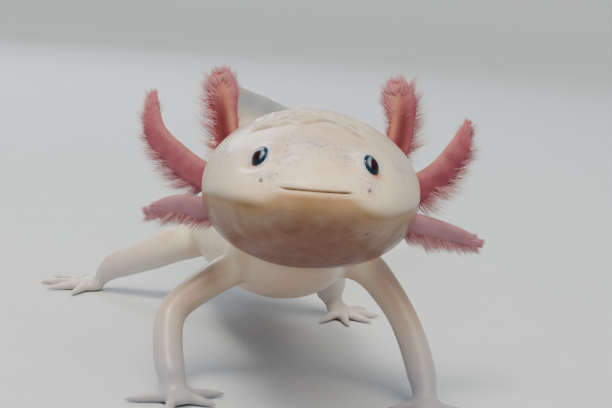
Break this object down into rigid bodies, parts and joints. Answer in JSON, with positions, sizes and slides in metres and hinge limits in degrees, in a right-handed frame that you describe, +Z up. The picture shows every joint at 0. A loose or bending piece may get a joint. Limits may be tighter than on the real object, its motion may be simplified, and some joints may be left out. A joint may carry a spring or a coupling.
{
  "type": "axolotl",
  "caption": "Life-size still axolotl, standing with its broad head raised, feathery gills spread, legs splayed and its finned tail lifted in a curve.",
  "frame": {"origin": "on the floor under the middle of the whole animal's box", "axes": "+Z up, +Y from the snout towards the tail, so the animal faces -Y, and +X to the animal's left"},
  "size_m": [0.0854, 0.1688, 0.0531],
  "materials": {
    "skin": "moist, smooth, creamy white skin with a soft sheen",
    "fin": "thin, translucent greyish white skin",
    "gill": "moist, dusty pink flesh with dark red cores",
    "eye": "clear, wet cornea over a dark iris"
  },
  "bodies": {
    "root": {"head": "skin", "eye_right": "eye", "eye_left": "eye", "neck": "skin", "torso_front": "skin", "torso_middle": "skin", "torso_rear": "skin", "tail_root": "fin", "tail_middle": "fin", "tail_end": "fin", "upper_arm_front_right": "skin", "forearm_front_right": "skin", "hand_front_right": "skin", "upper_arm_front_left": "skin", "forearm_front_left": "skin", "hand_front_left": "skin", "thigh_hind_right": "skin", "shin_hind_right": "skin", "foot_hind_right": "skin", "thigh_hind_left": "skin", "shin_hind_left": "skin", "foot_hind_left": "skin", "gill_upper_right": "gill", "gill_middle_right": "gill", "gill_lower_right": "gill", "gill_upper_left": "gill", "gill_middle_left": "gill", "gill_lower_left": "gill"}
  },
  "joints": []
}
